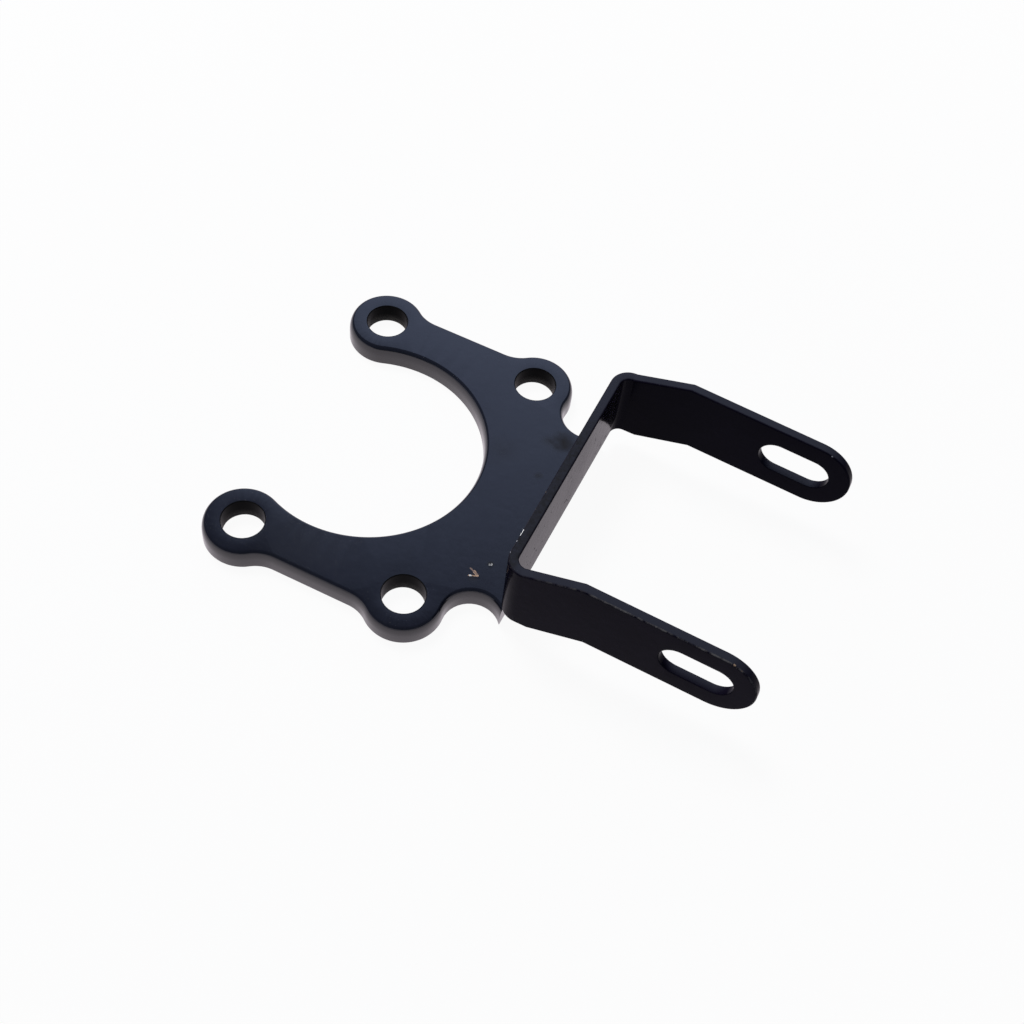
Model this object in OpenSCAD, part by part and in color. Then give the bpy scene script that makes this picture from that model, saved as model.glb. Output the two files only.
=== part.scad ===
// Headlight mounting bracket: a flat yoke plate that bolts down by four ears
// and a bent steel strap welded on its rear margin, whose two arms hold the lamp.
// Millimetres. +Z is up and +X points from the plate to the ends of the arms.
// The origin is the centre of the four bolt holes, on the plate's underside.

/* [Yoke plate] */
// Thickness of the plate
plate_t = 4.7; // [3:0.1:8]
// Distance between the plate's two straight outer edges
plate_w = 68; // [64:0.5:74]
// Hole to hole along X
hole_pitch_x = 35; // [32:0.5:44]
// Hole to hole along Y
hole_pitch_y = 58.4; // [55:0.2:62]
// Diameter of the four bolt holes
hole_d = 8.5; // [5:0.1:11]
// Outer radius of each rounded ear
ear_r = 8; // [7:0.1:10]
// Radius of the round cut-out between the front ears
cutout_r = 23.4; // [21:0.1:25.5]
// Hollow radius between an ear and the straight edge
blend_r = 6.9; // [3:0.1:10]
// Radius of the notch behind each rear ear
notch_r = 5.6; // [4:0.1:7]
// Width of the neck between the two notches
neck_w = 44; // [36:0.5:48]

/* [Lamp strap] */
// Thickness of the strap
strap_t = 2; // [1.5:0.1:3]
// Height of the strap on edge
strap_h = 16.2; // [12:0.1:20]
// Distance over the outsides of the two arms
strap_w = 53.8; // [50:0.2:70]
// Inside radius of the two bends
bend_r = 2; // [1:0.1:5]
// Where the strap's plate-side face stands, from the bolt pattern's centre
strap_x = 34.4; // [33:0.1:36]
// How far the strap's middle is set off to the side
strap_y = 2.1; // [-3:0.1:3]
// How far the plate's rear margin reaches under the strap
seat_w = 1; // [0.5:0.1:1.5]

/* [Arms] */
// Length of the rising part, along its middle line
rise_len = 12; // [8:0.5:20]
// Slope of the rising part, in degrees
rise_angle = 18.3; // [5:0.1:30]
// Length from the second kink to the centre of the rounded end
reach_len = 25.8; // [22:0.1:50]
// Fall of the outer part, in degrees
fall_angle = 2.9; // [0:0.1:10]
// Width of the adjusting slot
slot_w = 7.5; // [5:0.1:9]
// Overall length of the adjusting slot
slot_len = 14.5; // [10:0.5:20]

/* [Weld] */
// Leg of the weld bead at the strap's foot
weld_leg = 2.5; // [1.5:0.1:3]
// Length of the weld bead, centred on the strap
weld_len = 32; // [12:1:40]

/* [Hidden] */
$fn = 96;
over = 1;                       // how far a cutter runs past a face
bite = 0.004;                   // how far a hollow crosses the arc that it blends into
paint = [0.17, 0.18, 0.21];
paint_worn = [0.2, 0.2, 0.22];
px = hole_pitch_x / 2;
py = hole_pitch_y / 2;
edge_y = plate_w / 2;
// the cut-out runs tangent into both front ears
cut_x = -px + sqrt(pow(cutout_r + ear_r, 2) - pow(py, 2));
// centre of the hollow that runs tangent into an ear and into the straight edge
blend_y = edge_y + blend_r;
blend_x = px - sqrt(pow(ear_r + blend_r, 2) - pow(blend_y - py, 2));
// centre of the notch that runs tangent into a rear ear and touches the neck
notch_y = neck_w / 2 + notch_r;
notch_x = px + sqrt(pow(ear_r + notch_r, 2) - pow(notch_y - py, 2));
rear_x = strap_x + seat_w;
// the notch flares out towards the strap, then the margin runs straight back
flare = min(rear_x - notch_x, 0.8 * notch_r);
notch_end = [notch_x + flare, notch_y - sqrt(pow(notch_r, 2) - pow(flare, 2))];
margin = rear_x > notch_end[0] ? [[rear_x, notch_end[1]]] : [];
// points where the hollows and the cut-out touch the round ears
function toward(p, q) = p + ear_r * (q - p) / norm(q - p);
ear = [px, py];
blend_in = toward(ear, [blend_x, blend_y]);
notch_in = toward(ear, [notch_x, notch_y]);
cut_in = toward([-px, py], [cut_x, 0]);

bend_out = bend_r + strap_t;
arm_x = strap_x + bend_out;     // where the bends end and the arms start
arm_y = strap_w / 2 - strap_t;  // inner face of an arm, from the strap's middle
strap_z = plate_t;              // the strap stands on the plate's top
half_h = strap_h / 2;

// side view of one arm: middle line, kinks and outline, X along and Y up
kink1 = [arm_x + half_h * tan(rise_angle / 2), half_h];
kink2 = kink1 + rise_len * [cos(rise_angle), sin(rise_angle)];
tip = kink2 + reach_len * [cos(fall_angle), -sin(fall_angle)];
// half-width offset at a kink between two slopes, along the line that halves it
function miter(a, b) = half_h / cos((a - b) / 2) * [-sin((a + b) / 2), cos((a + b) / 2)];
m1 = miter(0, rise_angle);
m2 = miter(rise_angle, -fall_angle);
m3 = half_h * [sin(fall_angle), cos(fall_angle)];
slot_run = slot_len - slot_w;   // between the slot's two end centres
slot_in = tip - slot_run * [cos(fall_angle), -sin(fall_angle)];

module both_sides() {
    children();
    mirror([0, 1, 0]) children();
}

// half of the plate's outline, from the middle line to one side
module half_outline() {
    difference() {
        union() {
            polygon(concat([[cut_x, 0], cut_in, [-px, py], [-blend_in[0], blend_in[1]],
                            [-blend_x, edge_y], [blend_x, edge_y], blend_in, ear,
                            notch_in, notch_end], margin, [[rear_x, 0]]));
            for (x = [-px, px]) translate([x, py]) circle(r = ear_r);
        }
        for (x = [-blend_x, blend_x]) translate([x, blend_y]) circle(r = blend_r + bite);
        translate([notch_x, notch_y]) circle(r = notch_r + bite);
        translate([cut_x, 0]) circle(r = cutout_r + bite);
    }
}

module mounting_plate() {
    color(paint)
    difference() {
        both_sides() linear_extrude(plate_t) half_outline();
        for (x = [-px, px], y = [-py, py])
            translate([x, y, -over]) cylinder(h = plate_t + 2 * over, d = hole_d);
    }
}

// a line of the slot's width between two points of the side view
module slot_outline() {
    translate(tip) circle(d = slot_w);
    translate(slot_in) circle(d = slot_w);
    translate(slot_in) rotate(-fall_angle)
        translate([0, -slot_w / 2]) square([slot_run, slot_w]);
}

module arm_outline() {
    difference() {
        union() {
            polygon([[arm_x, 0], kink1 - m1, kink2 - m2, tip - m3,
                     tip + m3, kink2 + m2, kink1 + m1, [arm_x, strap_h]]);
            translate(tip) circle(r = half_h);
        }
        slot_outline();
    }
}

module bend() {
    translate([arm_x, strap_w / 2 - bend_out, 0])
        rotate([0, 0, 90]) rotate_extrude(angle = 90)
            translate([bend_r, 0]) square([strap_t, strap_h]);
}

module lamp_strap() {
    color(paint_worn)
    translate([0, strap_y, strap_z]) {
        translate([strap_x, -(strap_w / 2 - bend_out), 0])
            cube([strap_t, strap_w - 2 * bend_out, strap_h]);
        both_sides() {
            bend();
            translate([0, arm_y + strap_t, 0]) rotate([90, 0, 0])
                linear_extrude(strap_t) arm_outline();
        }
    }
}

// a round-faced bead in the corner between the plate's top and the strap
module weld_bead() {
    run = weld_len - 2 * weld_leg;
    color(paint)
    translate([strap_x, strap_y, plate_t])
    intersection() {
        union() {
            translate([0, run / 2, 0]) rotate([90, 0, 0]) cylinder(h = run, r = weld_leg);
            for (y = [-run / 2, run / 2]) translate([0, y, 0]) sphere(r = weld_leg);
        }
        translate([-2 * weld_leg, -weld_len, 0])
            cube([2 * weld_leg, 2 * weld_len, 2 * weld_leg]);
    }
}

mounting_plate();
lamp_strap();
weld_bead();
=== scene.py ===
from math import pi, sin, cos, tan, atan2, radians, sqrt
import bpy
import bmesh
from mathutils import Matrix, Vector


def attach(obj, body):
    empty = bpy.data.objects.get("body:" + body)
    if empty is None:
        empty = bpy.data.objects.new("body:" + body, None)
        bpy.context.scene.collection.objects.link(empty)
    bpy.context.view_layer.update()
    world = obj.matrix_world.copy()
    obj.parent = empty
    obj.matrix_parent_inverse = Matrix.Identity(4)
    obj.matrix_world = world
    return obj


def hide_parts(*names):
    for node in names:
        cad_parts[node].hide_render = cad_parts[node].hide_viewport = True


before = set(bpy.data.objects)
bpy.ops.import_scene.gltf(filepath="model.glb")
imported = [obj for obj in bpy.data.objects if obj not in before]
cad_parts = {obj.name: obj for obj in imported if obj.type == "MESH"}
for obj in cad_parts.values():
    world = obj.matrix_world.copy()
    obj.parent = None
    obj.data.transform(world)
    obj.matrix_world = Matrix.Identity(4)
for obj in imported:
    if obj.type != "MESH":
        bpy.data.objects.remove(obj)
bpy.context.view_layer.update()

mm = 0.001
scene = bpy.context.scene
scene.view_settings.view_transform = "Standard"
print("frame loaded")


# camera: where the picture was taken from, in mm from the centre of the bolt holes
camera = {
    "place": (82.98, -164.75, 251.48),
    "turn": (34.535, -4.739, 25.768),
    "lens": 53.75,
    "sensor": 36,
    "nearest": 10,
}

eye = bpy.data.objects.new("camera", bpy.data.cameras.new("camera"))
scene.collection.objects.link(eye)
eye.location = [c * mm for c in camera["place"]]
eye.rotation_euler = [radians(a) for a in camera["turn"]]
eye.data.lens = camera["lens"]
eye.data.sensor_width = camera["sensor"]
eye.data.clip_start = camera["nearest"] * mm
scene.camera = eye


# a pen that draws outlines one edge at a time, in mm
def penDown(bm, x, y, z):
    return bmesh.ops.create_vert(bm, co=(x, y, z))["vert"][0]


def lineTo(bm, vert, x, y, steps):
    start = vert.co.copy()
    for i in range(1, steps + 1):
        vert = bmesh.ops.extrude_vert_indiv(bm, verts=[vert])["verts"][0]
        vert.co.x = start.x + (x - start.x) * i / steps
        vert.co.y = start.y + (y - start.y) * i / steps
    return vert


def arcTo(bm, vert, centre, end, turn, steps):  # turn is 1 for left, -1 for right
    first = atan2(vert.co.y - centre[1], vert.co.x - centre[0])
    last = atan2(end[1] - centre[1], end[0] - centre[0])
    angle = (last - first) * turn % (2 * pi)
    made = bmesh.ops.spin(bm, geom=[vert], cent=(centre[0], centre[1], vert.co.z),
                          axis=(0, 0, turn), angle=angle, steps=steps)
    return next(g for g in made["geom_last"] if isinstance(g, bmesh.types.BMVert))


def closeLoop(bm, last, first, old):  # joins the pen's ends and gives the edges drawn since old
    nearEnough = 1e-4
    if (last.co - first.co).length > nearEnough:
        bm.edges.new((last, first))
    else:
        bmesh.ops.weld_verts(bm, targetmap={last: first})
    return [e for e in bm.edges if e not in old]


def toward(p, q, distance):
    dx, dy = q[0] - p[0], q[1] - p[1]
    far = sqrt(dx * dx + dy * dy)
    return (p[0] + dx / far * distance, p[1] + dy / far * distance)


def flipY(p):
    return (p[0], -p[1])


def flipX(p):
    return (-p[0], p[1])


def roundSteps(radius, count):  # inset and drop along a quarter round, from the wall to the face
    angles = [pi / 2 * i / count for i in range(count + 1)]
    return [(radius * (1 - cos(a)), radius * (1 - sin(a))) for a in angles]


def rimRows(grow, low, high):  # growth and height of a hole's rows, eased at both rims
    soft = grow * 0.3  # a step near the corner makes the ease round
    return [(grow, low), (soft, low + soft), (0, low + grow),
            (0, high - grow), (soft, high - soft), (grow, high)]


def fillEnds(bm, stacks):  # closes both faces, round every hole
    for end, z in ((0, -1), (-1, 1)):
        edges = [e for rows in stacks for e in rows[end]]
        bmesh.ops.triangle_fill(bm, use_beauty=True, edges=edges, normal=(0, 0, z))


# the last step of each piece: scale to metres, smooth round faces and keep flat ones flat
finish = {
    "merge": 0.002,
    "sharp": 35,
    "flatWeight": 60,
}


def finishPiece(name, bm, body="root", sharp=finish["sharp"]):
    bmesh.ops.remove_doubles(bm, verts=bm.verts, dist=finish["merge"])
    bmesh.ops.recalc_face_normals(bm, faces=bm.faces)
    for f in bm.faces:
        f.smooth = True
    for e in bm.edges:
        if len(e.link_faces) == 2 and e.calc_face_angle(0) > radians(sharp):
            e.smooth = False
    for v in bm.verts:
        v.co *= mm
    mesh = bpy.data.meshes.new(name)
    bm.to_mesh(mesh)
    bm.free()
    piece = bpy.data.objects.new(name, mesh)
    scene.collection.objects.link(piece)
    flat = piece.modifiers.new("flat faces stay flat", "WEIGHTED_NORMAL")
    flat.weight = finish["flatWeight"]
    flat.keep_sharp = True
    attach(piece, body)
    return piece


# yoke plate: four ears, round cut-out, hollows and notches; top edge pressed round
plate = {
    "thick": 4.7,
    "straightEdge": 34.0,
    "holeX": 17.5, "holeY": 29.2, "holeR": 4.25,
    "earR": 8.0,
    "cutR": 23.4,
    "blendR": 6.9,
    "notchR": 5.6,
    "neck": 22.0,
    "rear": 35.4,
    "roundTop": 0.95, "roundDeep": 2.4,  # the pressed edge rolls over further down than in
    "roundTopRows": 6,
    "roundBottom": 0.25,
    "roundBottomRows": 2,
    "wallRows": 6,  # rows above the underside that are painted as wall
    "holeRim": 0.18,
    "steps": {"notch": 16, "rearEar": 36, "blend": 8, "side": 4,
              "frontEar": 60, "cut": 110, "hole": 56},
}


def plateLoop(bm, inset, z):
    p, steps = plate, plate["steps"]
    ear, notch = p["earR"] - inset, p["notchR"] + inset
    rearEar, frontEar = (p["holeX"], p["holeY"]), (-p["holeX"], p["holeY"])
    cutAt = (-p["holeX"] + sqrt((p["cutR"] + p["earR"]) ** 2 - p["holeY"] ** 2), 0)
    blendY = p["straightEdge"] + p["blendR"]
    blendX = p["holeX"] - sqrt((p["earR"] + p["blendR"]) ** 2 - (blendY - p["holeY"]) ** 2)
    notchY = p["neck"] + p["notchR"]
    notchX = p["holeX"] + sqrt((p["earR"] + p["notchR"]) ** 2 - (notchY - p["holeY"]) ** 2)
    rearBlend, frontBlend, notchAt = (blendX, blendY), (-blendX, blendY), (notchX, notchY)
    side = p["straightEdge"] - inset
    rear = p["rear"]  # stays square, because the strap stands on it
    corner = (rear, notchY - sqrt(notch ** 2 - (rear - notchX) ** 2))
    old = set(bm.edges)
    first = v = penDown(bm, *corner, z)
    v = arcTo(bm, v, notchAt, toward(rearEar, notchAt, ear), -1, steps["notch"])
    v = arcTo(bm, v, rearEar, toward(rearEar, rearBlend, ear), 1, steps["rearEar"])
    v = arcTo(bm, v, rearBlend, (blendX, side), -1, steps["blend"])
    v = lineTo(bm, v, -blendX, side, steps["side"])
    v = arcTo(bm, v, frontBlend, toward(frontEar, frontBlend, ear), -1, steps["blend"])
    v = arcTo(bm, v, frontEar, toward(frontEar, cutAt, ear), 1, steps["frontEar"])
    # the other half, mirrored
    rearEar, frontEar, notchAt = flipY(rearEar), flipY(frontEar), flipY(notchAt)
    rearBlend, frontBlend = flipY(rearBlend), flipY(frontBlend)
    v = arcTo(bm, v, cutAt, toward(frontEar, cutAt, ear), -1, steps["cut"])
    v = arcTo(bm, v, frontEar, toward(frontEar, frontBlend, ear), 1, steps["frontEar"])
    v = arcTo(bm, v, frontBlend, (-blendX, -side), -1, steps["blend"])
    v = lineTo(bm, v, blendX, -side, steps["side"])
    v = arcTo(bm, v, rearBlend, toward(rearEar, rearBlend, ear), -1, steps["blend"])
    v = arcTo(bm, v, rearEar, toward(rearEar, notchAt, ear), 1, steps["rearEar"])
    v = arcTo(bm, v, notchAt, flipY(corner), -1, steps["notch"])
    return closeLoop(bm, v, first, old)


def circleLoop(bm, x, y, radius, z):
    made = bmesh.ops.create_circle(bm, segments=plate["steps"]["hole"], radius=radius,
                                   matrix=Matrix.Translation((x, y, z)))
    return list({e for v in made["verts"] for e in v.link_edges})


def buildPlate():
    p = plate
    bm = bmesh.new()
    levels = list(reversed(roundSteps(p["roundBottom"], p["roundBottomRows"])))
    levels += [(inset, p["thick"] - drop * p["roundDeep"] / p["roundTop"])
               for inset, drop in roundSteps(p["roundTop"], p["roundTopRows"])]
    outline = [plateLoop(bm, inset, z) for inset, z in levels]
    holes = []
    for x in (-p["holeX"], p["holeX"]):
        for y in (-p["holeY"], p["holeY"]):
            rows = rimRows(p["holeRim"], 0, p["thick"])
            holes.append([circleLoop(bm, x, y, p["holeR"] + grow, z) for grow, z in rows])
    topPaint, insidePaint, sidePaint = 0, 1, 2  # the order in which the paints are added below
    for rows in [outline] + holes:
        for step, (low, high) in enumerate(zip(rows, rows[1:])):
            made = bmesh.ops.bridge_loops(bm, edges=low + high)
            paint = sidePaint if step < p["wallRows"] else topPaint
            for face in made["faces"]:
                face.material_index = paint if rows is outline else insidePaint
    fillEnds(bm, [outline] + holes)
    return finishPiece("yoke_plate", bm)


# lamp strap: cut flat as a blank with two kinks and a slot in each arm, then bent twice
strap = {
    "thick": 2.0,
    "high": 16.2,
    "overall": 53.8,
    "bendR": 2.0,
    "x": 34.4,
    "y": 2.1,
    "foot": 4.7,
    "rise": 12.0, "riseAngle": 18.3,
    "reach": 25.8, "fallAngle": 2.9,
    "slotWide": 7.5, "slotLong": 14.5,
    "round": 0.38,
    "roundRows": 3,
    "slotRim": 0.2,
    "rubbed": (0, 0.2, 0.3, 0.2, 0.4, 1.0, 0.9, 0.3),  # wear on each row, inside to outside
    "slotRubbed": 0.35,
    "slotShade": 0.5,  # how much of the painted reflection on the near slot's wall is taken away toward its outer face, a painted shade
    "sideOn": 0.15,  # how much of the painted reflection the cut edge keeps where it doesn't face up
    "facing": 3,  # how fast that painted reflection fades as the edge turns away from up
    "steps": {"rise": 4, "arm": 6, "tip": 40, "web": 24, "slotSide": 4, "slotEnd": 24, "bend": 14},
}


def strapStations():  # how far along the blank each bend starts and ends
    s = strap
    out = s["bendR"] + s["thick"]
    webEnd = s["overall"] / 2 - out
    bendEnd = webEnd + (s["bendR"] + s["thick"] / 2) * pi / 2
    return webEnd, bendEnd


def strapLine(scale=1.0):  # middle line of one arm in the blank, with the half-width steps at its kinks
    s = strap
    half = s["high"] / 2
    up, down = radians(s["riseAngle"]), -radians(s["fallAngle"])
    bendEnd = strapStations()[1]
    kink1 = Vector((bendEnd + half * tan(up / 2), half))
    kink2 = kink1 + s["rise"] * Vector((cos(up), sin(up)))
    tip = kink2 + s["reach"] * Vector((cos(down), sin(down)))
    wide = half * scale
    step1 = wide / cos(up / 2) * Vector((-sin(up / 2), cos(up / 2)))
    mid = (up + down) / 2
    step2 = wide / cos((up - down) / 2) * Vector((-sin(mid), cos(mid)))
    step3 = wide * Vector((-sin(down), cos(down)))
    return kink1, kink2, tip, step1, step2, step3


def blankLoop(bm, inset, z):
    half = strap["high"] / 2
    steps = strap["steps"]
    kink1, kink2, tip, step1, step2, step3 = strapLine(1 - inset / half)
    old = set(bm.edges)
    first = v = penDown(bm, *(kink1 - step1), z)
    v = lineTo(bm, v, *(kink2 - step2), steps["rise"])
    v = lineTo(bm, v, *(tip - step3), steps["arm"])
    v = arcTo(bm, v, tip, tip + step3, 1, steps["tip"])
    v = lineTo(bm, v, *(kink2 + step2), steps["arm"])
    v = lineTo(bm, v, *(kink1 + step1), steps["rise"])
    v = lineTo(bm, v, *flipX(kink1 + step1), steps["web"])
    v = lineTo(bm, v, *flipX(kink2 + step2), steps["rise"])
    v = lineTo(bm, v, *flipX(tip + step3), steps["arm"])
    v = arcTo(bm, v, flipX(tip), flipX(tip - step3), 1, steps["tip"])
    v = lineTo(bm, v, *flipX(kink2 - step2), steps["arm"])
    v = lineTo(bm, v, *flipX(kink1 - step1), steps["rise"])
    v = lineTo(bm, v, first.co.x, first.co.y, steps["web"])
    return closeLoop(bm, v, first, old)


def slotLoop(bm, side, grow, z):
    s, steps = strap, strap["steps"]
    tip = strapLine()[2]
    down = radians(s["fallAngle"])
    along = Vector((cos(down), -sin(down)))
    across = Vector((sin(down), cos(down)))
    outer, inner = tip, tip - (s["slotLong"] - s["slotWide"]) * along
    r = s["slotWide"] / 2 + grow
    place = (lambda q: q) if side > 0 else flipX
    old = set(bm.edges)
    first = v = penDown(bm, *place(inner - r * across), z)
    v = lineTo(bm, v, *place(outer - r * across), steps["slotSide"])
    v = arcTo(bm, v, place(outer), place(outer + r * across), side, steps["slotEnd"])
    v = lineTo(bm, v, *place(inner + r * across), steps["slotSide"])
    v = arcTo(bm, v, place(inner), place(inner - r * across), side, steps["slotEnd"])
    return closeLoop(bm, v, first, old)


def bendStrap(co):  # from the flat blank (along, up, out) to the bent strap
    s = strap
    webEnd, bendEnd = strapStations()
    side = 1 if co.x > 0 else -1
    along, up, out = abs(co.x), co.y, co.z
    middle = s["bendR"] + s["thick"] / 2
    armX = s["x"] + s["bendR"] + s["thick"]
    if along <= webEnd:
        x, y = s["x"] + s["thick"] / 2 - out, along
    elif along <= bendEnd:
        a = (along - webEnd) / middle
        x, y = armX - (middle + out) * cos(a), webEnd + (middle + out) * sin(a)
    else:
        x, y = armX + along - bendEnd, webEnd + middle + out
    return Vector((x, side * y + s["y"], up + s["foot"]))


def buildStrap():
    s = strap
    bm = bmesh.new()
    rim = bm.verts.layers.float.new("rim")
    edgeReflection = bm.verts.layers.float.new("edgeReflection")
    half = s["thick"] / 2
    quarter = roundSteps(s["round"], s["roundRows"])
    levels = [(inset, drop - half) for inset, drop in reversed(quarter)]
    levels += [(inset, half - drop) for inset, drop in quarter]
    outline = []
    for (inset, z), amount in zip(levels, s["rubbed"]):
        loop = blankLoop(bm, inset, z)
        for v in {v for e in loop for v in e.verts}:
            v[rim] = amount
            # painted reflection band along the cut edge, strongest on the flat of the edge
            v[edgeReflection] = 1 - min(1, inset / s["round"])
        outline.append(loop)
    slots = []
    for side in (1, -1):
        slot = []
        for grow, z in rimRows(s["slotRim"], -half, half):
            loop = slotLoop(bm, side, grow, z)
            # painted reflection on the slot walls; on the near slot it is taken back toward the outer face
            # as painted shade
            shaded = s["slotShade"] * (0.5 + z / s["thick"]) if side < 0 else 0
            for v in {v for e in loop for v in e.verts}:
                v[rim] = s["slotRubbed"] if grow else 0
                v[edgeReflection] = (1 - grow / s["slotRim"]) * (1 - shaded)
            slot.append(loop)
        slots.append(slot)
    for rows in [outline] + slots:
        for low, high in zip(rows, rows[1:]):
            bmesh.ops.bridge_loops(bm, edges=low + high)
    fillEnds(bm, [outline] + slots)
    bmesh.ops.recalc_face_normals(bm, faces=bm.faces)
    bm.normal_update()
    for v in bm.verts:  # painted reflection: the cut edge is painted palest where it faces up, as if it mirrored the light above
        v[edgeReflection] *= s["sideOn"] + (1 - s["sideOn"]) * max(0, v.normal.y) ** s["facing"]
    webEnd, bendEnd = strapStations()
    bends = s["steps"]["bend"]
    cuts = [webEnd + (bendEnd - webEnd) * i / bends for i in range(bends + 1)]
    for u in cuts + [-c for c in cuts]:
        bmesh.ops.bisect_plane(bm, geom=bm.verts[:] + bm.edges[:] + bm.faces[:], dist=1e-5,
                               plane_co=(u, 0, 0), plane_no=(1, 0, 0))
    for v in bm.verts:
        v.co = bendStrap(v.co)
    return finishPiece("lamp_arms", bm)


# weld bead: a rippled run in the corner between plate and strap
weld = {
    "leg": 2.5,
    "long": 32.0,
    "ripples": 15,
    "ringsPerRipple": 8,
    "sides": 40,
    "ripple": 0.055,
    "drift": 0.1, "driftBeat": 0.9,  # ripples are a hand's work, so not quite evenly spaced
    "uneven": 0.02, "unevenBeat": 0.37,
    "smallest": 0.02,  # share of the leg left at the very ends
    "sharp": 50,
}


def buildWeld():
    w = weld
    bm = bmesh.new()
    perRipple = w["ringsPerRipple"]
    steps = w["ripples"] * perRipple
    middle = w["long"] / 2
    turn = Matrix.Rotation(pi / 2, 4, "X")
    ring = bmesh.ops.create_circle(bm, segments=w["sides"], radius=1, matrix=turn)["verts"]
    edges = list({e for v in ring for e in v.link_edges})
    rings = [ring]
    for i in range(steps):
        grown = bmesh.ops.extrude_edge_only(bm, edges=edges)["geom"]
        ring = [g for g in grown if isinstance(g, bmesh.types.BMVert)]
        edges = [g for g in grown if isinstance(g, bmesh.types.BMEdge)
                 and all(v in ring for v in g.verts)]
        rings.append(ring)
    for i, ring in enumerate(rings):
        along = -middle + 2 * middle * i / steps
        intoEnd = max(0.0, abs(along) - middle + w["leg"])
        ended = sqrt(max(0.0, 1 - intoEnd ** 2 / w["leg"] ** 2))
        wave = (i / perRipple + w["drift"] * sin(i * w["driftBeat"])) % 1
        swell = 1 - w["ripple"] * wave ** 2 - w["uneven"] * sin(i * w["unevenBeat"])
        size = w["leg"] * max(w["smallest"], ended) * swell
        for v in ring:
            x, z = v.co.x * size, v.co.z * size
            v.co = Vector((strap["x"] + min(x, 0), strap["y"] + along, plate["thick"] + max(z, 0)))
    bmesh.ops.holes_fill(bm, edges=bm.edges, sides=2 * w["sides"])
    return finishPiece("weld_run", bm, sharp=w["sharp"])


yokePlate = buildPlate()
print("plate built", len(yokePlate.data.polygons))
lampArms = buildStrap()
print("strap built", len(lampArms.data.polygons))
weldRun = buildWeld()
print("weld built", len(weldRun.data.polygons))
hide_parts("mounting_plate")
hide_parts("lamp_strap")
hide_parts("weld_bead")


# node helpers
def newMaterial(name):
    material = bpy.data.materials.new(name)
    material.use_nodes = True
    tree = material.node_tree
    shader = tree.nodes["Principled BSDF"]
    return material, tree, shader


def put(tree, kind, **values):
    node = tree.nodes.new(kind)
    for key, value in values.items():
        if key in node.inputs:
            node.inputs[key].default_value = value
        else:
            setattr(node, key, value)
    return node


def attribute(tree, name):
    return put(tree, "ShaderNodeAttribute", attribute_name=name).outputs["Fac"]


def noise(tree, place, scale, detail=2.0, rough=0.5):
    node = put(tree, "ShaderNodeTexNoise", Scale=scale, Detail=detail, Roughness=rough)
    tree.links.new(place, node.inputs["Vector"])
    return node.outputs["Fac"]


def ramp(tree, value, low, high, first=0.0, last=1.0):
    node = put(tree, "ShaderNodeMapRange")
    node.inputs["From Min"].default_value = low
    node.inputs["From Max"].default_value = high
    node.inputs["To Min"].default_value = first
    node.inputs["To Max"].default_value = last
    tree.links.new(value, node.inputs["Value"])
    return node.outputs["Result"]


def sums(tree, operation, a, b):
    node = put(tree, "ShaderNodeMath", operation=operation)
    for socket, value in zip(node.inputs, (a, b)):
        if isinstance(value, (int, float)):
            socket.default_value = value
        else:
            tree.links.new(value, socket)
    return node.outputs["Value"]


def times(tree, a, b):
    return sums(tree, "MULTIPLY", a, b)


def mixColour(tree, amount, a, b):
    node = put(tree, "ShaderNodeMix", data_type="RGBA")
    for socket, value in ((node.inputs[0], amount), (node.inputs[6], a), (node.inputs[7], b)):
        if isinstance(value, (int, float, tuple)):
            socket.default_value = value
        else:
            tree.links.new(value, socket)
    return node.outputs[2]


def vectors(tree, operation, a, b=None):
    node = put(tree, "ShaderNodeVectorMath", operation=operation)
    for socket, value in zip(node.inputs, (a, b)):
        if isinstance(value, bpy.types.NodeSocket):
            tree.links.new(value, socket)
        elif value is not None:
            socket.default_value = value
    return node


def fade(tree, place, axis, span):  # rises from 0 to 1 over a span of an axis, in mm
    at = put(tree, "ShaderNodeSeparateXYZ")
    tree.links.new(place, at.inputs[0])
    return ramp(tree, at.outputs[axis], span[0] * mm, span[1] * mm)


# patterns in the paint: scale, detail and roughness of the noise, then the range of it that counts
patterns = {
    "cloud": (60, 4.0, 0.6, 0.38, 0.68),
    "fine": (800, 3.0, 0.6, 0.35, 0.75),
    "mottled": (1100, 4.0, 0.7, 0.36, 0.64),
    "rubbed": (520, 5.0, 0.75, 0.42, 0.6),
    "nicked": (1100, 2.0, 0.5, 0.72, 0.75),
    "pitted": (900, 2.0, 0.5, 0.66, 0.72),
}


def pattern(tree, place, name, first=0.0, last=1.0):
    scale, detail, rough, low, high = patterns[name]
    return ramp(tree, noise(tree, place, scale, detail, rough), low, high, first, last)


# marks: how far and how finely the outline wanders, and from what share of the radius it is solid
chipMark = {"ragged": 0.5, "scale": 900.0, "solid": 0.8}
scratchMark = {"ragged": 0.35, "scale": 2500.0, "solid": 0.7}
greaseMark = {"ragged": 0.22, "scale": 420.0, "solid": 0.0}
markNoise = {"detail": 2.0, "rough": 0.5, "low": 0.3, "high": 0.7}


def markShape(tree, place, distance, radius, mark):
    m = markNoise
    reach = radius * mm
    wander = mark["ragged"] * reach
    uneven = noise(tree, place, mark["scale"], m["detail"], m["rough"])
    wobble = ramp(tree, uneven, m["low"], m["high"], -wander, wander)
    return ramp(tree, sums(tree, "ADD", distance, wobble), reach, reach * mark["solid"])


def spot(tree, place, centre, radius, mark=chipMark):  # a blot round a point, in mm
    away = vectors(tree, "DISTANCE", place, [c * mm for c in centre])
    return markShape(tree, place, away.outputs["Value"], radius, mark)


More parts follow.
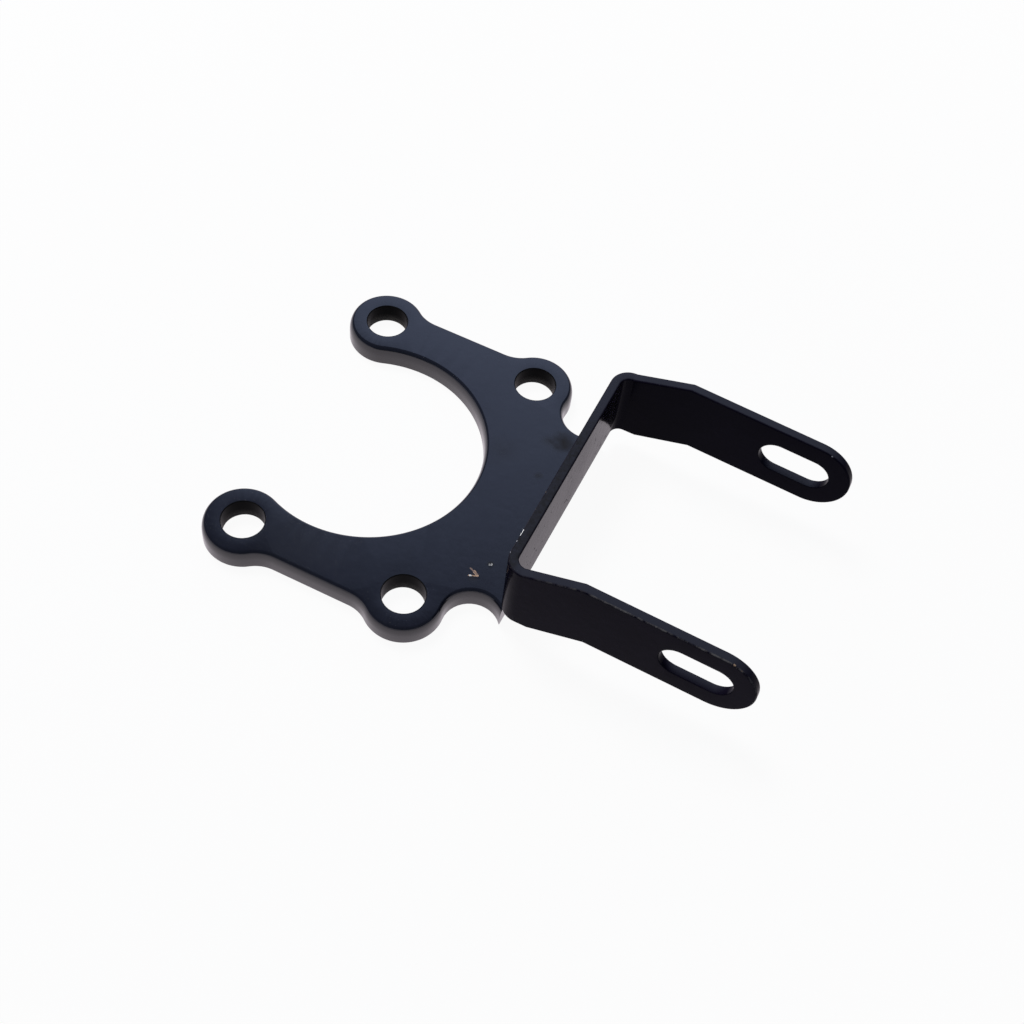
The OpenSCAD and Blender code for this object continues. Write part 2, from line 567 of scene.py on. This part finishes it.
def stroke(tree, place, start, end, radius):  # a thin mark between two points, in mm
    a, b = Vector(start) * mm, Vector(end) * mm
    along = b - a
    fromStart = vectors(tree, "SUBTRACT", place, a).outputs[0]
    share = vectors(tree, "DOT_PRODUCT", fromStart, along / along.length_squared)
    nearest = vectors(tree, "SCALE", along)
    tree.links.new(ramp(tree, share.outputs["Value"], 0, 1), nearest.inputs["Scale"])
    gap = vectors(tree, "DISTANCE", fromStart, nearest.outputs[0])
    return markShape(tree, place, gap.outputs["Value"], radius, scratchMark)


# black paint: deep and smooth on the plate, flatter on the strap, rubbed thin along the rims; the strap's
# cut edges carry a painted reflection and the plate's walls painted light from below
platePaint = {
    "dark": (0.0050, 0.0057, 0.0098, 1),
    "cloudy": (0.0077, 0.0086, 0.0145, 1),
    "greasy": (0.0145, 0.013, 0.012, 1),
    "shine": 0.5,
    "tint": (0.93, 0.96, 1.0, 1),
    "rough": (0.11, 0.19),
    "peel": 0.03,
    "ior": 1.5,
}

holePaint = dict(
    platePaint,
    dark=(0.004, 0.004, 0.004, 1),
    cloudy=(0.006, 0.006, 0.006, 1),
    shine=0.02,
    rough=(0.3, 0.4),
    # painted light: paler toward the underside, for floor light reflected in the hole walls
    floorLightBelow=(0.24, 0.22, 0.2, 1),
    floorLightSpan=(2.4, 0),
)

wallPaint = dict(
    platePaint,
    ior=1.62,
    tint=(1, 1, 1, 1),
    # painted light: a little paler toward the underside, for floor light on the outer walls
    floorLightBelow=(0.034, 0.032, 0.032, 1),
    floorLightSpan=(2.6, 0),
)

strapPaint = {
    "dark": (0.0052, 0.0041, 0.0098, 1),
    "cloudy": (0.0084, 0.0067, 0.0145, 1),
    # painted reflection: the cut edges are painted a pale blue-grey where they would mirror the light above
    "edgeReflection": (0.025, 0.0265, 0.036, 1), "reflectionBand": (0.4, 0.92),
    "scuffed": (0.0165, 0.0165, 0.0175, 1), "mottle": (0.95, 0.25),
    "scuffedX": (37.2, 36.2), "scuffedY": (18, 8),  # where the scuffing starts and where it is full, in mm
    "worn": (0.13, 0.125, 0.12, 1), "wornBand": (0.55, 0.9),
    "handledX": (40, 55), "handledY": (0, -10),  # the same for the near arm, worn by handling
    "wear": 0.75, "wearElsewhere": 0.1,
    "bare": (0.4, 0.31, 0.2, 1), "bareBand": (0.6, 0.9),
    "shine": 0.02,
    "tint": (0.85, 0.88, 1.0, 1),
    "rough": (0.13, 0.2),
    "pits": 0.22,
    "peel": 0.06,
    "ior": 1.5,
}

orangePeel = {"scale": 520, "deep": 0.0004}
floorLightCurve = 1.6  # how late the painted floor light starts to show on the way down
evenCloud = 0.5


def patch(tree, place, look, name):  # where two fades meet, one along X and one along Y
    return times(tree, fade(tree, place, "X", look[name + "X"]), fade(tree, place, "Y", look[name + "Y"]))


def edgeReflectionAndWear(tree, place, look, colour):  # painted reflection on the pale cut edge, real scuffing on the web, rubbed and nicked at its rims
    rim = attribute(tree, "rim")
    band = ramp(tree, attribute(tree, "edgeReflection"), *look["reflectionBand"])
    scuffed = patch(tree, place, look, "scuffed")
    scuffed = times(tree, scuffed, pattern(tree, place, "mottled", *look["mottle"]))
    edgePaint = mixColour(tree, scuffed, look["edgeReflection"], look["scuffed"])
    colour = mixColour(tree, band, colour, edgePaint)
    rubbed = times(tree, pattern(tree, place, "rubbed"), look["wear"])
    rubbed = times(tree, ramp(tree, rim, *look["wornBand"]), rubbed)
    handled = ramp(tree, patch(tree, place, look, "handled"), 0, 1, look["wearElsewhere"], 1)
    colour = mixColour(tree, times(tree, rubbed, handled), colour, look["worn"])
    nicked = times(tree, ramp(tree, rim, *look["bareBand"]), pattern(tree, place, "nicked"))
    return mixColour(tree, nicked, colour, look["bare"])


def paintMaterial(name, look, spots=(), strokes=(), smudges=()):
    material, tree, shader = newMaterial(name)
    place = put(tree, "ShaderNodeTexCoord").outputs["Object"]
    cloud = pattern(tree, place, "cloud")
    clouded = times(tree, cloud, sums(tree, "ADD", evenCloud, pattern(tree, place, "fine")))
    colour = mixColour(tree, clouded, look["dark"], look["cloudy"])
    if "edgeReflection" in look:
        colour = edgeReflectionAndWear(tree, place, look, colour)
    if "floorLightBelow" in look:  # painted light: the lower part of a wall is painted paler toward the underside, standing in for light from the floor
        low = fade(tree, place, "Z", look["floorLightSpan"])
        colour = mixColour(tree, sums(tree, "POWER", low, floorLightCurve), colour, look["floorLightBelow"])
    for centre, radius, shade in spots:
        colour = mixColour(tree, spot(tree, place, centre, radius), colour, shade)
    for start, end, radius, shade in strokes:
        colour = mixColour(tree, stroke(tree, place, start, end, radius), colour, shade)
    rough = ramp(tree, cloud, 0, 1, *look["rough"])
    for centre, radius, strength in smudges:  # a greasy mark takes the shine away, and one dull patch by the chip is painted shade
        blot = spot(tree, place, centre, radius, greaseMark)
        tinted = times(tree, blot, min(1, strength * 2))
        colour = mixColour(tree, tinted, colour, look["greasy"])
        rough = sums(tree, "ADD", rough, times(tree, blot, strength))
    if "pits" in look:
        rough = sums(tree, "ADD", rough, pattern(tree, place, "pitted", 0, look["pits"]))
    tree.links.new(colour, shader.inputs["Base Color"])
    tree.links.new(rough, shader.inputs["Roughness"])
    shader.inputs["IOR"].default_value = look["ior"]
    shader.inputs["Specular IOR Level"].default_value = look["shine"]
    shader.inputs["Specular Tint"].default_value = look["tint"]
    bump = put(tree, "ShaderNodeBump", Strength=look["peel"], Distance=orangePeel["deep"])
    tree.links.new(noise(tree, place, orangePeel["scale"]), bump.inputs["Height"])
    tree.links.new(bump.outputs["Normal"], shader.inputs["Normal"])
    return material


# flaws in the paint, with a painted glint, a painted highlight and painted shade at the chip and speck:
# places and radii in mm, and the shade or how dull a smudge is
bareTan = (0.45, 0.3, 0.19, 1)
bareBrown = (0.2, 0.135, 0.1, 1)
chipTan = (0.3, 0.21, 0.14, 1)
dull = (0.2, 0.2, 0.22, 1)
bright = (0.85, 0.85, 0.82, 1)
scraped = (0.42, 0.42, 0.43, 1)
deep = (0.002, 0.002, 0.003, 1)

top = plate["thick"]
plateSpots = [
    ((29.0, -15.4, top), 0.62, deep),
]
plateStrokes = [
    # painted glint on a spatter speck
    ((28.85, -15.47, top), (29.18, -15.31, top), 0.24, bright),
    # painted shadow beneath the chip
    ((26.7, -20.0, top), (28.4, -19.32, top), 0.26, deep),
    ((27.0, -18.35, top), (27.85, -18.85, top), 0.3, bareTan),
    ((26.0, -18.0, top), (27.8, -18.7, top), 0.17, bareBrown),
    ((27.95, -18.95, top), (26.45, -19.6, top), 0.16, bareTan),
    # painted highlight on the chip
    ((26.65, -19.52, top), (26.85, -19.46, top), 0.19, bright),
]
plateSmudges = [
    ((29.2, 18.1, top), 3.2, 0.6),
    ((26.6, 16.9, top), 2.4, 0.22),
    ((28.1, 8.1, top), 1.1, 0.3),
    ((28.9, -15.3, top), 0.75, 0.5),
    # painted shade round the chip: dulled and tinted
    ((27.2, -19.7, top), 1.3, 0.3),
    ((19.0, 10.1, top), 4.5, 0.12),
    ((-5.0, -27.1, top), 12.0, 0.1),
]

ridge = strap["foot"] + strap["high"] - 0.1
strapSpots = [
    ((79.2, -24.7, 23.0), 0.27, chipTan),
    ((80.7, -24.7, 22.35), 0.25, bareBrown),
    ((79.6, 27.0, 22.9), 0.24, dull),
    ((68.3, -24.8, 13.2), 0.35, bareBrown),
]
strapStrokes = [
    ((34.5, -15.5, ridge), (34.5, -16.9, ridge), 0.11, bright),
    ((34.5, -18.2, ridge), (34.5, -18.4, ridge), 0.1, scraped),
    ((34.5, -20.9, ridge), (34.5, -21.2, ridge), 0.1, dull),
]

for piece, paint in (
    (yokePlate, paintMaterial("plate paint", platePaint, plateSpots, plateStrokes, plateSmudges)),
    (yokePlate, paintMaterial("hole paint", holePaint)),
    (yokePlate, paintMaterial("wall paint", wallPaint)),
    (lampArms, paintMaterial("strap paint", strapPaint, strapSpots, strapStrokes)),
    (weldRun, paintMaterial("weld paint", strapPaint)),
):
    piece.data.materials.append(paint)
print("painted")


# floor and light
studio = {
    "floor": (0.6, 0.6, 0.6, 1),
    "floorRough": 0.9,
    "floorShine": 0.1,
    "floorSize": 3,
    "floorDrop": -0.0002,
    "glow": (0.945, 1.0),  # how white the floor looks, under the part and far from it
    "glowFrom": (0.1, 0.4),
    "mirrored": 0.9,
    "bounce": (0.97, 0.89, 0.96, 1),
    "sky": (0.115, 0.13, 0.19, 1),
    "panel": (0.96, 1.12, 1.60, 1),  # a pale wall behind, which the plate mirrors
    "panelAt": (109, 38.1),
    "panelEdge": (0.918, 0.9853),
    "keyAt": (150, 62), "keyAway": 0.7,
    "keySize": 0.25,
    "keyPower": 4.6,
    "aim": (0.02, 0, 0),
}
white = (1, 1, 1, 1)


def compass(bearing, height):  # the direction of a bearing and a height, in degrees
    b, h = radians(bearing), radians(height)
    return Vector((cos(b) * cos(h), sin(b) * cos(h), sin(h)))


floorMesh = bpy.data.meshes.new("floor")
bm = bmesh.new()
bmesh.ops.create_grid(bm, x_segments=1, y_segments=1, size=studio["floorSize"])
bm.to_mesh(floorMesh)
bm.free()
floor = bpy.data.objects.new("floor", floorMesh)
scene.collection.objects.link(floor)
floor.location.z = studio["floorDrop"]
material, tree, shader = newMaterial("pale floor")
shader.inputs["Base Color"].default_value = studio["floor"]
shader.inputs["Roughness"].default_value = studio["floorRough"]
shader.inputs["Specular IOR Level"].default_value = studio["floorShine"]
glow = put(tree, "ShaderNodeEmission", Strength=1.0)
blend = put(tree, "ShaderNodeMixShader")
rays = put(tree, "ShaderNodeLightPath").outputs
tree.links.new(mixColour(tree, rays["Is Glossy Ray"], white, studio["bounce"]), glow.inputs["Color"])
away = vectors(tree, "LENGTH", put(tree, "ShaderNodeTexCoord").outputs["Object"]).outputs["Value"]
seen = times(tree, rays["Is Camera Ray"], ramp(tree, away, *studio["glowFrom"], *studio["glow"]))
mirrored = sums(tree, "MAXIMUM", rays["Is Glossy Ray"], rays["Is Transmission Ray"])
tree.links.new(sums(tree, "MAXIMUM", seen, times(tree, mirrored, studio["mirrored"])), blend.inputs[0])
tree.links.new(shader.outputs[0], blend.inputs[1])
tree.links.new(glow.outputs[0], blend.inputs[2])
tree.links.new(blend.outputs[0], tree.nodes["Material Output"].inputs["Surface"])
floorMesh.materials.append(material)

world = bpy.data.worlds.new("studio")
scene.world = world
world.use_nodes = True
tree = world.node_tree
background = tree.nodes["Background"]
sky = put(tree, "ShaderNodeTexCoord").outputs["Generated"]
facing = vectors(tree, "DOT_PRODUCT", sky, compass(*studio["panelAt"])).outputs["Value"]
lift = mixColour(tree, ramp(tree, facing, *studio["panelEdge"]), studio["sky"], studio["panel"])
seen = put(tree, "ShaderNodeLightPath").outputs["Is Camera Ray"]
tree.links.new(mixColour(tree, seen, lift, white), background.inputs["Color"])
background.inputs["Strength"].default_value = 1.0

lampData = bpy.data.lights.new("key", "AREA")
lampData.shape = "RECTANGLE"
lampData.size = lampData.size_y = studio["keySize"]
lampData.energy = studio["keyPower"]
keyLamp = bpy.data.objects.new("key", lampData)
scene.collection.objects.link(keyLamp)
aim = Vector(studio["aim"])
keyLamp.location = aim + studio["keyAway"] * compass(*studio["keyAt"])
keyLamp.rotation_euler = (aim - keyLamp.location).to_track_quat("-Z", "Y").to_euler()
keyLamp.visible_glossy = False
print("lit")
